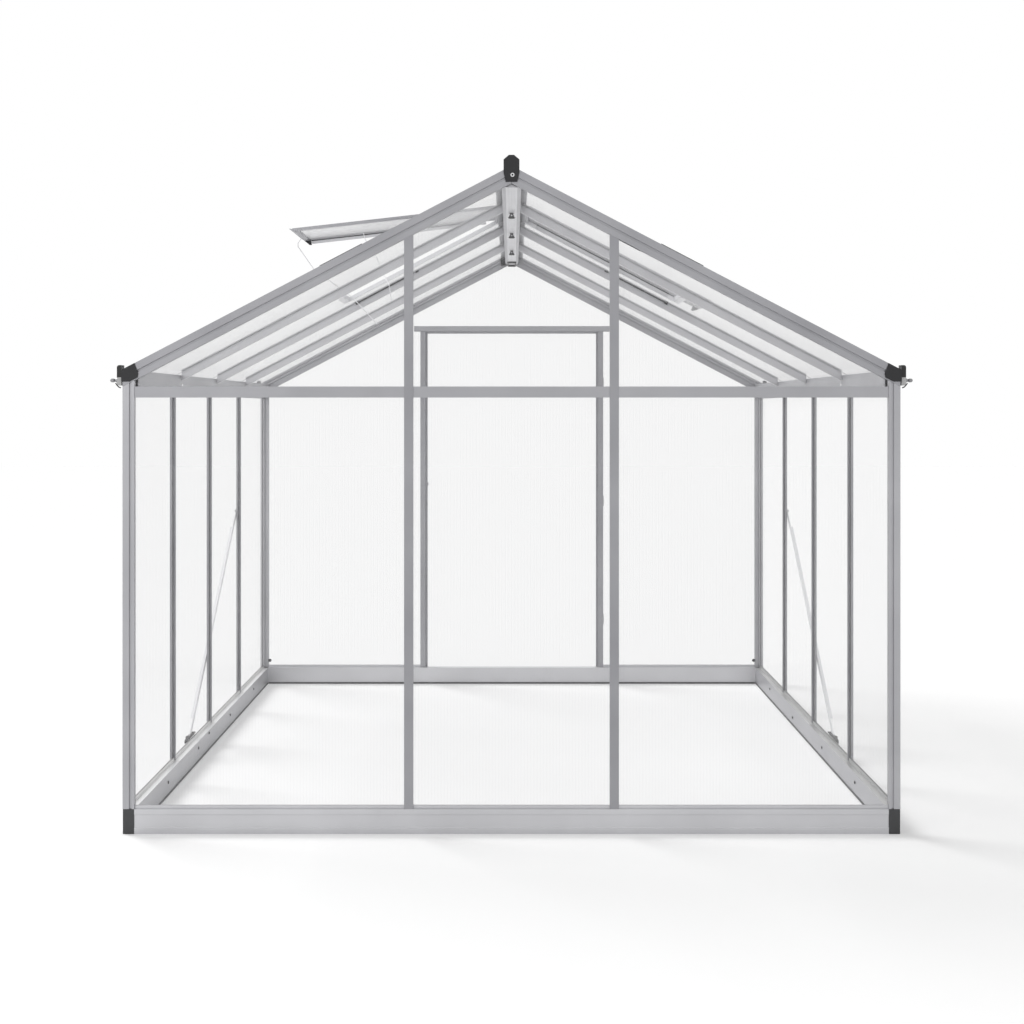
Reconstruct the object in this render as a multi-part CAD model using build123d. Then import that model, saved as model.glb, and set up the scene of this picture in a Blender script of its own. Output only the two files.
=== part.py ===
from build123d import *

import math
import os

# Greenhouse with an aluminium frame, clear twin-wall sheets and a gable roof.
# Millimetres, +Z up. The closed gable looks towards -Y and the gable with the door towards +Y.
# Every piece is drawn about the middle of the building and moved at the end, so that the
# origin lies on the ground, under the middle of the closed gable's plinth rail.

# Main dimensions
width = 2400.0
bays = 4
bay_pitch = 635.0
corner_width = 36.0
eave_height = 1434.0
roof_pitch = 27.63

# Clear sheets and the slots that hold them
sheet = 4.0
fit = 0.3
sheet_inset = 9.0
grip = 9.0
slot_play = 2.0
seam = 0.6

# Walls of the aluminium sections
wall = 2.0
thick_wall = 2.5

# Plinth
base_height = 87.0
base_lip = 10.0
base_step_low = 20.0
base_step_high = 60.0
base_step = 1.5

# Corner posts
corner_box = 20.0
groove_width = 8.0
groove_depth = 5.0
arm_depth = 18.0

# Posts between the corners
stud_width = 24.0
stud_depth = 22.0
stud_stem = 16.0
side_post_depth = 17.0
gable_post_width = 28.0
gable_post_spacing = 635.0

# Transom of the closed gable, its underside below the eave line
transom_drop = 87.0
transom_height = 34.0

# Doorway and door; the head's upper corners stay clear of the rafters above
door_clear = 810.0
door_post_width = 24.0
head_height = 26.0
head_overhang = 30.0
head_clearance = 55.0
leaf_gap = 5.0
leaf_thickness = 24.0
leaf_stile = 24.0
leaf_foot = 44.0
leaf_peep = 8.5
hinge_radius = 6.0
hinge_cheek = 5.0
hinge_pin = 3.0
hinge_play = 0.3
hinge_reach = 7.0
hinge_knuckle = 24.0
hinge_margin = 260.0
knob_height = 950.0
knob_radius = 14.0
knob_reach = 30.0
knob_neck = 6.0

# Eave beam with its gutter, heights below the eave line
beam_depth = 40.0
beam_drop = 62.0
beam_shoulder = 4.0
gutter_reach = 14.5
gutter_floor_drop = 46.0
gutter_rim_drop = 18.0
gutter_web = 5.0

# Roof sections, measured square to the slope from the roof line inward
gable_rafter_depth = 47.0
gable_rafter_face = 22.0
gable_rafter_width = 30.0
roof_sheet_drop = 9.3
rafter_lip = 5.0
rafter_depth = 38.0
rafter_width = 24.0
rafter_stem = 18.0

# Ridge beam, its underside below the ridge line
ridge_drop = 62.0
ridge_strip = 37.0
ridge_width = 62.0
ridge_chamfer = 6.0
ridge_wing = 52.0
wing_drop = 1.0
wing_thickness = 2.5
crest_width = 26.0
crest_height = 20.0
crest_chamfer = 6.5

# Black plastic covers, with heights from the ridge line and from the eave line
cap_wall = 3.0
ridge_cap_width = 49.0
ridge_cap_foot = 36.0
ridge_cap_top = 16.0
ridge_cap_drop = 50.0
ridge_cap_taper = 22.0
ridge_cap_shoulder = 19.0
ridge_cap_rise = 33.0
eave_cap_width = 50.0
eave_cap_foot = 25.0
eave_cap_drop = 38.0
eave_cap_knee = 13.0
eave_cap_cheek = 12.0
eave_cap_lean = 2.0
eave_cap_nose = 12.0
gutter_end_rise = 13.0
gutter_end_drop = 50.0
gutter_end_round = 7.0

# Moulded corners of the plinth
corner_round = 4.0
corner_rim = 4.5

# Outlet nozzles, each with a collar in the middle and a ball at the end
nozzle_drop = 34.0
nozzle_length = 24.0
nozzle_neck = 3.5
nozzle_collar = 5.5
nozzle_ball = 7.0
nozzle_foot = 8.0
nozzle_bore = 2.0

# Side braces: angle sections, their feet below the top of the plinth's body
brace_width = 22.0
brace_flange = 10.0
brace_thickness = 2.5
brace_foot_back = 950.0
brace_foot_drop = 8.0
brace_top_height = 867.0
brace_bare_end = 110.0
clip_length = 170.0
clip_height = 20.0
clip_arch = 12.0

# Rear gable sheets: distance of the sheet joint from the doorway
rear_strip = 410.0

# Roof vents, in the second bay from the closed gable
vent_bay = 1
vent_side_gap = 145.0
vent_length = 738.0
vent_lap = 69.0
vent_thickness = 10.0
vent_bar = 20.0
vent_hinge_offset = 58.0
vent_open_angle = 21.2
vent_bead = 5.5
vent_rise = 8.5
vent_lip = 12.0
kerb_width = 20.0
kerb_top = -5.0
kerb_cover = 11.0
vent_corner = 23.0
vent_corner_foot = 8.0
vent_corner_drop = 15.0

# Derived sizes
length = bays * bay_pitch + corner_width
half_width = width / 2
half_length = length / 2
pitch = math.radians(roof_pitch)
ridge_height = eave_height + half_width * math.tan(pitch)
slot_out = sheet_inset - fit
slot_in = sheet_inset + sheet + fit
slot_floor = grip + slot_play
base_body = base_height - base_lip
sheet_foot = base_body + fit
transom_bottom = eave_height - transom_drop
beam_bottom = eave_height - beam_drop
beam_top = eave_height - beam_shoulder
gutter_floor = eave_height - gutter_floor_drop
gutter_rim = eave_height - gutter_rim_drop
ridge_bottom = ridge_height - ridge_drop
door_half = door_clear / 2 + leaf_peep
door_outer = door_half + door_post_width
door_post_middle = door_half + door_post_width / 2
head_half = door_outer + head_overhang
rafter_foot = ridge_height - head_half * math.tan(pitch) - gable_rafter_depth / math.cos(pitch)
head_top = rafter_foot - head_clearance
head_bottom = head_top - head_height
leaf_top = head_bottom - leaf_peep + leaf_stile
vent_width = bay_pitch - 2 * vent_side_gap
kerb_end = vent_hinge_offset + vent_length * math.cos(pitch) - vent_lap
kerb_inner = vent_side_gap + kerb_cover
stud_places = [-half_length + corner_width / 2 + bay_pitch * n for n in range(1, bays)]
far = 4000.0
to_origin = Pos(0, half_length - corner_width / 2, 0)


def polygon(points):
    """Closed face through the points."""
    return make_face(Polyline(*points, close=True))


def block(x0, x1, y0, y1, z0, z1):
    """Box between two corners."""
    box = Box(abs(x1 - x0), abs(y1 - y0), abs(z1 - z0))
    return Pos((x0 + x1) / 2, (y0 + y1) / 2, (z0 + z1) / 2) * box


def cell(u0, u1, v0, v1):
    """Rectangle between two corners of a section sketch."""
    return Pos((u0 + u1) / 2, (v0 + v1) / 2) * Rectangle(u1 - u0, v1 - v0)


def roof_line(across):
    """Height of the outer roof line at a distance from the middle."""
    return ridge_height - abs(across) * math.tan(pitch)


def below_roof(depth, y0=-far, y1=far):
    """Everything under the two slopes, a depth square to them."""
    drop = depth / math.cos(pitch)
    eave = roof_line(far) - drop
    outline = [(-far, -far), (far, -far), (far, eave), (0, ridge_height - drop), (-far, eave)]
    face = Plane.XZ * polygon(outline)
    return Pos(0, y1, 0) * extrude(face, y1 - y0)


def to_left(shapes):
    """Mirror images of the shapes across the middle."""
    return [mirror(shape, about=Plane.YZ) for shape in shapes]


def to_rear(shapes):
    """Mirror images of the shapes at the other gable."""
    return [mirror(shape, about=Plane.XZ) for shape in shapes]


def left_and_right(shape):
    """The shape and its mirror image across the middle."""
    return [shape] + to_left([shape])


def front_and_rear(shapes):
    """The shapes and their mirror images at the other gable."""
    return shapes + to_rear(shapes)


def wall_plane(side, along, height):
    """Section plane of an upright: x runs along the wall and y points inward."""
    planes = {
        "front": Plane((along, -half_length, height), x_dir=(1, 0, 0), z_dir=(0, 0, 1)),
        "rear": Plane((along, half_length, height), x_dir=(-1, 0, 0), z_dir=(0, 0, 1)),
        "right": Plane((half_width, along, height), x_dir=(0, 1, 0), z_dir=(0, 0, 1)),
    }
    return planes[side]


def bar_section(across, outer, depth, stem):
    """Glazing bar: outer cover strip, web between two sheet slots, hollow stem."""
    half = across / 2
    core = half - slot_floor
    cover = cell(-half, half, outer, slot_out)
    web = cell(-core, core, outer, depth - wall)
    seat = cell(-half, half, slot_in, slot_in + wall)
    tube = cell(-stem / 2, stem / 2, slot_in, depth)
    section = cover + web + seat + tube
    if depth - slot_in > 3 * wall:
        section -= cell(-stem / 2 + wall, stem / 2 - wall, slot_in + wall, depth - wall)
    if slot_out - outer > 3 * wall:
        section -= cell(-half + wall, half - wall, outer + wall, slot_out - wall)
    return section


def jamb_section(across, stem):
    """Glazing bar whose slot on the doorway side is closed."""
    section = bar_section(across, 0, stud_depth, stem)
    return section + cell(0, across / 2, slot_out, slot_in)


def upright(side, along, section, foot, top, depth):
    """Upright of a wall, cut square or to the underside of the roof at the depth."""
    bar = extrude(wall_plane(side, along, foot) * section, top - foot)
    return bar & below_roof(depth)


def rail_section():
    """Hollow plinth rail with two shallow steps and a sheet slot on top."""
    steps = [
        (0, 0),
        (corner_width, 0),
        (corner_width, base_body),
        (0, base_body),
        (0, base_step_high),
        (base_step, base_step_high - base_step),
        (base_step, base_step_low + base_step),
        (0, base_step_low),
    ]
    inner_wall = thick_wall + base_step
    section = polygon(steps)
    section -= cell(inner_wall, corner_width - thick_wall, thick_wall, base_body - thick_wall)
    section += cell(slot_out - wall, slot_out, base_body, base_height)
    section += cell(slot_in, slot_in + wall, base_body, base_height)
    return section


def rail(long, notches, notch_width):
    """Plinth rail along X with its outer face on y = 0 and notched lips for the uprights."""
    section = rail_section()
    plane = Plane((-long / 2, 0, 0), x_dir=(0, 1, 0), z_dir=(1, 0, 0))
    body = extrude(plane * section, long)
    for place in notches:
        half = notch_width / 2 + fit
        body -= block(place - half, place + half, -1, corner_width + 1, base_body, base_height + 1)
    return body


def bases():
    """Four plinth rails between the corner pieces."""
    across = width - 2 * corner_width
    along = length - 2 * corner_width
    posts = [-gable_post_spacing / 2, gable_post_spacing / 2]
    front = Pos(0, -half_length, 0) * rail(across, posts, gable_post_width)
    doorway = rail(across, [-door_post_middle, door_post_middle], door_post_width)
    doorway -= block(-door_half, door_half, 0, corner_width, base_body, base_height)
    rear = Pos(0, half_length, 0) * Rot(0, 0, 180) * doorway
    right = Pos(half_width, 0, 0) * Rot(0, 0, 90) * rail(along, stud_places, stud_width)
    return front, rear, right


def corner_pieces():
    """Dark moulded corner pieces that the rails butt against."""
    body = Box(corner_width, corner_width, base_body)
    outer_edge = body.edges().filter_by(Axis.Z).group_by(Axis.X)[-1].sort_by(Axis.Y)[0]
    body = fillet(outer_edge, corner_round)
    hollow = corner_width - 2 * corner_rim
    body -= Pos(0, 0, -corner_rim) * Box(hollow, hollow, base_body)
    place = (half_width - corner_width / 2, -half_length + corner_width / 2, base_body / 2)
    return front_and_rear(left_and_right(Pos(*place) * body))


def corner_post_section():
    """Corner section: hollow square, grooved faces and one sheet slot each way."""
    arm = corner_width
    section = cell(0, corner_box, 0, corner_box)
    section -= cell(wall, corner_box - wall, wall, corner_box - wall)
    section += cell(corner_box - wall, arm, 0, arm_depth)
    section += cell(0, arm_depth, corner_box - wall, arm)
    section -= cell(arm - slot_floor, arm, slot_out, slot_in)
    section -= cell(slot_out, slot_in, arm - slot_floor, arm)
    groove_end = corner_box + groove_width
    section -= cell(corner_box, groove_end, 0, groove_depth)
    section -= cell(0, groove_depth, corner_box, groove_end)
    return section


def corner_posts():
    """Corner posts of the closed gable, their tops cut to the underside of its rafters."""
    corner = (half_width, -half_length, base_body + fit)
    plane = Plane(corner, x_dir=(0, 1, 0), z_dir=(0, 0, 1))
    post = extrude(plane * corner_post_section(), eave_height - base_body)
    return left_and_right(post & below_roof(gable_rafter_depth + fit))


def side_posts():
    """Posts of the right wall, from the plinth to the underside of the eave beam."""
    section = bar_section(stud_width, 0, side_post_depth, stud_stem)
    foot = base_body + fit
    top = beam_bottom - fit
    return [upright("right", y, section, foot, top, gable_rafter_depth) for y in stud_places]


def front_gable_posts():
    """Two posts of the closed gable, up to the rafters."""
    section = bar_section(gable_post_width, 0, stud_depth, stud_stem)
    place = gable_post_spacing / 2
    foot = base_body + fit
    post = upright("front", place, section, foot, ridge_height, gable_rafter_depth + fit)
    return left_and_right(post)


def front_transom():
    """Three lengths of transom between the corner posts and the gable posts."""
    corner = half_width - corner_width - fit
    post = gable_post_spacing / 2
    half = gable_post_width / 2 + fit
    spans = [(-corner, -post - half), (-post + half, post - half), (post + half, corner)]
    section = bar_section(transom_height, wall, stud_depth, transom_height - 2 * wall)
    middle = transom_bottom + transom_height / 2
    bars = []
    for x0, x1 in spans:
        plane = Plane((x0, -half_length, middle), x_dir=(0, 0, -1), z_dir=(1, 0, 0))
        bars.append(extrude(plane * section, x1 - x0))
    return bars


def gable_rafter_section():
    """Edge rafter: hollow top, face groove, slot for the roof sheet and for the gable sheet."""
    groove_end = gable_rafter_face + groove_width
    roof_slot = roof_sheet_drop - fit
    roof_slot_end = roof_sheet_drop + sheet + fit
    roof_slot_floor = gable_rafter_width - slot_floor
    section = cell(0, gable_rafter_width, 0, gable_rafter_face)
    section -= cell(wall, roof_slot_floor - wall, wall, gable_rafter_face - wall)
    section += cell(0, arm_depth, gable_rafter_face - wall, gable_rafter_depth)
    section -= cell(0, groove_depth, gable_rafter_face, groove_end)
    section -= cell(roof_slot_floor, gable_rafter_width, roof_slot, roof_slot_end)
    section -= cell(slot_out, slot_in, gable_rafter_depth - slot_floor, gable_rafter_depth)
    return section


def slope_plane(y):
    """Section plane of a rafter of the right slope: x along +Y, y square into the roof."""
    foot = (far / 2, y, roof_line(far / 2))
    up_slope = (-math.cos(pitch), 0, math.sin(pitch))
    return Plane(foot, x_dir=(0, 1, 0), z_dir=up_slope)


def right_rafter(y, section, inner, outer):
    """Rafter of the right slope, cut upright at its inner and outer ends."""
    bar = extrude(slope_plane(y) * section, far)
    return bar & block(inner, outer, -far, far, 0, far)


def gable_rafters():
    """Pair of rafters of the closed gable, met in the middle and run over the corner posts."""
    bar = right_rafter(-half_length, gable_rafter_section(), fit / 2, half_width)
    return left_and_right(bar)


def middle_rafters():
    """Slim rafters of the right slope, from the ridge beam to the eave beam."""
    section = bar_section_roof()
    inner = ridge_width / 2 + fit / 2
    outer = half_width - beam_depth - fit / 2
    return [right_rafter(y, section, inner, outer) for y in stud_places]


def bar_section_roof():
    """Slim rafter: low cover strip, two sheet slots and a hollow stem below."""
    half = rafter_width / 2
    core = half - slot_floor
    slot_top = roof_sheet_drop - fit
    slot_low = roof_sheet_drop + sheet + fit
    section = cell(-half, half, rafter_lip, slot_top)
    section += cell(-core, core, rafter_lip, rafter_depth - wall)
    section += cell(-half, half, slot_low, slot_low + wall)
    section += cell(-rafter_stem / 2, rafter_stem / 2, slot_low, rafter_depth)
    inner = rafter_stem / 2 - wall
    section -= cell(-inner, inner, slot_low + wall, rafter_depth - wall)
    return section


def ridge_section():
    """Ridge beam: flat underside, flared sides, crest and two wings over the sheets."""
    half = ridge_width / 2
    strip = ridge_strip / 2
    under = (roof_sheet_drop + sheet + fit) / math.cos(pitch)
    side_top = roof_line(half) - under
    outline = [
        (-strip, ridge_bottom),
        (strip, ridge_bottom),
        (half, ridge_bottom + ridge_chamfer),
        (half, side_top),
        (0, ridge_height - under),
        (-half, side_top),
        (-half, ridge_bottom + ridge_chamfer),
    ]
    body = polygon(outline)
    body -= offset(body, -thick_wall)
    crest = crest_width / 2
    flat = crest - crest_chamfer
    top = ridge_height + crest_height
    shoulder = top - crest_chamfer / 2
    wing_top = wing_drop / math.cos(pitch)
    wing_low = (wing_drop + wing_thickness) / math.cos(pitch)
    wings = [
        (0, ridge_height - wing_low),
        (ridge_wing, roof_line(ridge_wing) - wing_low),
        (ridge_wing, roof_line(ridge_wing) - wing_top),
        (crest, roof_line(crest) - wing_top),
        (crest, shoulder),
        (flat, top),
        (-flat, top),
        (-crest, shoulder),
        (-crest, roof_line(crest) - wing_top),
        (-ridge_wing, roof_line(ridge_wing) - wing_top),
        (-ridge_wing, roof_line(ridge_wing) - wing_low),
    ]
    crown = polygon(wings)
    crown -= cell(-crest + wall, crest - wall, ridge_height, shoulder)
    web = cell(-wall, wall, ridge_height - under - wall, ridge_height)
    return body + crown + web


def ridge_beam():
    """Ridge beam between the gable rafters."""
    end = half_length - gable_rafter_width - fit
    plane = Plane((0, -end, 0), x_dir=(-1, 0, 0), z_dir=(0, 1, 0))
    return extrude(plane * ridge_section(), 2 * end)


def eave_section():
    """Eave beam of the right wall: hollow box, sheet slot below and gutter outside."""
    under = (roof_sheet_drop + sheet + fit) / math.cos(pitch)
    web = half_width - gutter_web
    inner = half_width - beam_depth
    outline = [
        (inner, beam_bottom),
        (web, beam_bottom),
        (web, roof_line(web) - under),
        (inner + thick_wall, beam_top),
        (inner, beam_top),
    ]
    section = polygon(outline)
    section -= offset(section, -thick_wall)
    rim = half_width + gutter_reach
    section += cell(web - wall, rim, gutter_floor, gutter_floor + wall)
    section += cell(rim - wall, rim, gutter_floor, gutter_rim)
    section += Pos(rim - wall / 2, gutter_rim) * Circle(wall)
    lip_low = beam_bottom - base_lip
    outer_lip = half_width - slot_out
    inner_lip = half_width - slot_in
    section += cell(outer_lip, outer_lip + wall, lip_low, beam_bottom)
    section += cell(inner_lip - wall, inner_lip, lip_low, beam_bottom)
    return section


def right_eave_beam():
    """Eave beam between the corner posts, its lower lips notched for the side posts."""
    end = half_length - corner_width - fit
    plane = Plane((0, end, 0), x_dir=(1, 0, 0), z_dir=(0, -1, 0))
    beam = extrude(plane * eave_section(), 2 * end)
    half = stud_width / 2 + fit
    low = beam_bottom - base_lip
    for y in stud_places:
        inner = half_width - side_post_depth
        beam -= block(inner, half_width, y - half, y + half, low, beam_bottom)
    return beam


def door_posts():
    """Two posts of the doorway, from the plinth to the door head."""
    section = jamb_section(door_post_width, door_post_width)
    foot = base_body + fit
    top = head_bottom - fit
    post = upright("rear", door_post_middle, section, foot, top, gable_rafter_depth)
    return left_and_right(post)


def door_head():
    """Head over the doorway, a little longer than the frame below it."""
    middle = head_bottom + head_height / 2
    plane = Plane((head_half, half_length, middle), x_dir=(0, 0, -1), z_dir=(-1, 0, 0))
    return extrude(plane * jamb_section(head_height, head_height - 2 * wall), 2 * head_half)


def sloped(x0, x1, y0, y1, depth0, depth1):
    """Slab under the right slope between two depths, its ends cut upright."""
    drop0 = depth0 / math.cos(pitch)
    drop1 = depth1 / math.cos(pitch)
    outline = [
        (x0, roof_line(x0) - drop0),
        (x1, roof_line(x1) - drop0),
        (x1, roof_line(x1) - drop1),
        (x0, roof_line(x0) - drop1),
    ]
    plane = Plane((0, y1, 0), x_dir=(1, 0, 0), z_dir=(0, -1, 0))
    return extrude(plane * polygon(outline), y1 - y0)


def front_sheet_spans():
    """Left and right edges of the three bays of the closed gable."""
    corner = half_width - corner_width + grip
    post = gable_post_spacing / 2
    reach = gable_post_width / 2 - grip
    return [(-corner, -post - reach), (-post + reach, post - reach), (post + reach, corner)]


def front_sheets():
    """Sheets of the closed gable below and above the transom."""
    y0 = -half_length + sheet_inset
    y1 = y0 + sheet
    low_top = transom_bottom + grip
    high_foot = transom_bottom + transom_height - grip
    roof = below_roof(gable_rafter_depth - grip)
    spans = front_sheet_spans()
    lower = [block(x0, x1, y0, y1, sheet_foot, low_top) for x0, x1 in spans]
    upper = [block(x0, x1, y0, y1, high_foot, ridge_height) & roof for x0, x1 in spans]
    return lower + upper


def rear_sheets():
    """Sheets beside and over the doorway, notched round the ends of the door head."""
    y1 = half_length - sheet_inset
    y0 = y1 - sheet
    roof = below_roof(gable_rafter_depth - grip)
    corner = half_width - corner_width + grip
    edge = door_outer - grip
    joint = door_outer + rear_strip
    outer = block(joint + seam / 2, corner, y0, y1, sheet_foot, ridge_height) & roof
    inner = block(edge, joint - seam / 2, y0, y1, sheet_foot, ridge_height) & roof
    inner -= block(0, head_half + fit, y0, y1, head_bottom - fit, head_top + fit)
    top_foot = head_top - grip
    top = block(-edge + seam, edge - seam, y0, y1, top_foot, ridge_height) & roof
    right = [inner, outer]
    return right + to_left(right) + [top]


def wall_sheet_spans():
    """Front and rear edges of the four sheets of a side wall."""
    reach = stud_width / 2 - grip
    ends = half_length - corner_width + grip
    starts = [-ends] + [y + reach for y in stud_places]
    stops = [y - reach for y in stud_places] + [ends]
    return list(zip(starts, stops))


def wall_sheets():
    """Sheets of the right wall between plinth and eave beam."""
    x1 = half_width - sheet_inset
    x0 = x1 - sheet
    top = beam_bottom - fit
    return [block(x0, x1, y0, y1, sheet_foot, top) for y0, y1 in wall_sheet_spans()]


def roof_sheets():
    """Sheets of the right slope; in the vent's bay the sheet is cut out inside the kerb."""
    reach = rafter_width / 2 - grip
    ends = half_length - gable_rafter_width + grip
    starts = [-ends] + [y + reach for y in stud_places]
    stops = [y - reach for y in stud_places] + [ends]
    sheets = []
    for bay, (y0, y1) in enumerate(zip(starts, stops)):
        depths = (roof_sheet_drop, roof_sheet_drop + sheet)
        pane = sloped(ridge_width / 4, half_width, y0, y1, *depths)
        if bay == vent_bay:
            near = stud_places[vent_bay - 1] + kerb_inner
            away = stud_places[vent_bay] - kerb_inner
            pane -= sloped(0, kerb_end - kerb_width, near, away, 0, far / 8)
        sheets.append(pane)
    return sheets


def vent_kerb():
    """Three-sided kerb of the right vent, laid on the sheet round its cut-out."""
    y0 = stud_places[vent_bay - 1] + kerb_inner
    y1 = stud_places[vent_bay] - kerb_inner
    side_end = kerb_end - kerb_width
    low = roof_sheet_drop - fit
    plate = sloped(ridge_wing + fit, kerb_end, y0 - kerb_width, y1 + kerb_width, kerb_top, low)
    return plate - sloped(0, side_end, y0, y1, -far / 8, far / 8)


def vent_plane(opening):
    """Frame of the right vent leaf: origin on the hinge, x down the leaf, z outward."""
    angle = pitch - math.radians(opening)
    drop = (wing_drop + wing_thickness / 2) / math.cos(pitch)
    middle = (stud_places[vent_bay - 1] + stud_places[vent_bay]) / 2
    hinge = (vent_hinge_offset, middle, roof_line(vent_hinge_offset) - drop)
    down = (math.cos(angle), 0, -math.sin(angle))
    outward = (math.sin(angle), 0, math.cos(angle))
    return Plane(hinge, x_dir=down, z_dir=outward)


def vent_corner_piece(half, top):
    """Moulded corner at the far outer end of a vent leaf, with a foot that hangs below it."""
    foot = vent_rise - vent_corner_drop
    inner = vent_length - vent_corner
    outline = [
        (inner, foot),
        (inner + vent_corner_foot, foot),
        (vent_length, vent_rise),
        (vent_length, top),
        (inner, top),
    ]
    plane = Plane((0, half, 0), x_dir=(1, 0, 0), z_dir=(0, -1, 0))
    return extrude(plane * polygon(outline), vent_corner)


def vent_leaf(opening):
    """Frame, sheet and moulded corner of the right vent, opened by an angle."""
    place = vent_plane(opening).location
    half = vent_width / 2
    top = vent_rise + vent_thickness
    x0 = vent_bar
    x1 = vent_length - vent_bar
    y1 = half - vent_bar
    frame = block(0, vent_length, -half, half, vent_rise, top)
    frame -= block(x0, x1, -y1, y1, vent_rise, top)
    low = vent_rise + (vent_thickness - sheet) / 2
    slot = (x0 - slot_floor, x1 + slot_floor, -y1 - slot_floor, y1 + slot_floor)
    slot_room = block(*slot, low - fit, low + sheet + fit)
    frame -= slot_room
    frame += Rot(90, 0, 0) * Cylinder(vent_bead, 2 * y1)
    frame += block(0, vent_bead, -y1, y1, 0, vent_rise + wall)
    tip = vent_length + vent_lip
    lip = [(x1, vent_rise), (vent_length, vent_rise), (tip, top), (tip - wall, top), (x1, low)]
    frame += extrude(Plane.XZ * polygon(lip), half, both=True) - slot_room
    corner = vent_corner_piece(half, top) - slot_room
    frame -= block(vent_length - vent_corner - fit, 2 * tip, half - vent_corner - fit, half, 0, 2 * top)
    pane = block(x0 - grip, x1 + grip, -y1 - grip, y1 + grip, low, low + sheet)
    return [[place * shape] for shape in (frame, pane, corner)]


def leaf_section():
    """Hollow section of the door leaf with one slot for its sheet."""
    inner = leaf_stile - slot_floor
    middle = leaf_thickness / 2
    half_slot = sheet / 2 + fit
    section = cell(0, leaf_stile, 0, leaf_thickness)
    section -= cell(wall, inner - wall, wall, leaf_thickness - wall)
    section -= cell(inner, leaf_stile, middle - half_slot, middle + half_slot)
    return section


def door_leaf():
    """Stiles, rails and sheet of the door, laid on the outside of its frame."""
    y0 = half_length + leaf_gap
    half = door_clear / 2 + leaf_stile
    upright_plane = Plane((half, y0, leaf_foot), x_dir=(-1, 0, 0), z_dir=(0, 0, -1))
    stile = extrude(upright_plane * leaf_section(), leaf_foot - leaf_top)
    inner = half - leaf_stile - fit
    low = Plane((-inner, y0, leaf_foot), x_dir=(0, 0, 1), z_dir=(-1, 0, 0))
    bottom_rail = extrude(low * leaf_section(), -2 * inner)
    high = Plane((-inner, y0, leaf_top), x_dir=(0, 0, -1), z_dir=(1, 0, 0))
    top_rail = extrude(high * leaf_section(), 2 * inner)
    sheet_face = y0 + leaf_thickness / 2 - sheet / 2
    edge = inner + fit + grip
    foot = leaf_foot + leaf_stile - grip
    head = leaf_top - leaf_stile + grip
    pane = block(-edge, edge, sheet_face, sheet_face + sheet, foot, head)
    return left_and_right(stile), [bottom_rail, top_rail], [pane]


def hinge_axis():
    """Place of the door's hinge pins in plan."""
    x = door_clear / 2 + leaf_stile + hinge_reach
    return x, half_length + leaf_gap + leaf_thickness / 2


def hinge_bracket(height):
    """Plate, two barrels and pin of a hinge on the door post."""
    x, y = hinge_axis()
    end = hinge_knuckle
    near = x - hinge_cheek
    away = x + hinge_cheek
    foot = half_length
    bracket = block(near, away, foot, foot + cap_wall, height - end, height + end)
    bracket += Pos(x, y, height) * Cylinder(hinge_pin, 2 * end)
    gap = hinge_knuckle / 2 + fit
    for z0, z1 in ((height + gap, height + end), (height - end, height - gap)):
        bracket += block(near, away, foot, y, z0, z1)
        bracket += Pos(x, y, (z0 + z1) / 2) * Cylinder(hinge_radius, z1 - z0)
    return bracket


def hinge_knuckle_piece(height):
    """Barrel and tongue of a hinge on the door leaf, bored for the pin."""
    x, y = hinge_axis()
    half = hinge_knuckle / 2
    knuckle = Pos(x, y, height) * Cylinder(hinge_radius, 2 * half)
    tongue = (x - hinge_reach, x, y - hinge_cheek, y + hinge_cheek)
    knuckle += block(*tongue, height - half, height + half)
    knuckle -= Pos(x, y, height) * Cylinder(hinge_pin + hinge_play, 3 * half)
    return knuckle


def door_hinges():
    """Hinge brackets on the post and the knuckles on the leaf, at three heights."""
    low = leaf_foot + hinge_margin
    high = leaf_top - hinge_margin
    heights = (low, (low + high) / 2, high)
    brackets = [hinge_bracket(height) for height in heights]
    knuckles = [hinge_knuckle_piece(height) for height in heights]
    return brackets, knuckles


def door_knob():
    """Turned knob on the free stile."""
    rose = 2 * knob_neck
    half = knob_reach / 2
    profile = [
        (0, 0),
        (rose, 0),
        (rose, cap_wall),
        (knob_neck, cap_wall),
        (knob_neck, half),
        (knob_radius, half + cap_wall),
        (knob_radius, knob_reach - cap_wall),
        (knob_radius - cap_wall, knob_reach),
        (0, knob_reach),
    ]
    body = revolve(Plane.XZ * polygon(profile), Axis.Z)
    x = -door_clear / 2 - leaf_stile / 2
    face = half_length + leaf_gap + leaf_thickness
    return Pos(x, face, knob_height) * Rot(-90, 0, 0) * body


def ridge_caps():
    """Black caps over the joint of the gable rafters."""
    half = ridge_cap_width / 2
    foot = ridge_cap_foot / 2
    flat = ridge_cap_top / 2
    bottom = ridge_height - ridge_cap_drop
    taper = ridge_height - ridge_cap_taper
    shoulder = ridge_height + ridge_cap_shoulder
    peak = ridge_height + ridge_cap_rise
    outline = [
        (-foot, bottom),
        (foot, bottom),
        (half, taper),
        (half, shoulder),
        (flat, peak),
        (-flat, peak),
        (-half, shoulder),
        (-half, taper),
    ]
    front = -half_length - fit
    face = Plane((0, front, 0), x_dir=(1, 0, 0), z_dir=(0, -1, 0))
    plate = extrude(face * polygon(outline), cap_wall)
    hood = extrude(face * polygon(outline), -(gable_rafter_width + fit))
    under = below_roof(-fit * math.cos(pitch))
    return front_and_rear([plate + (hood - under)])


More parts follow.
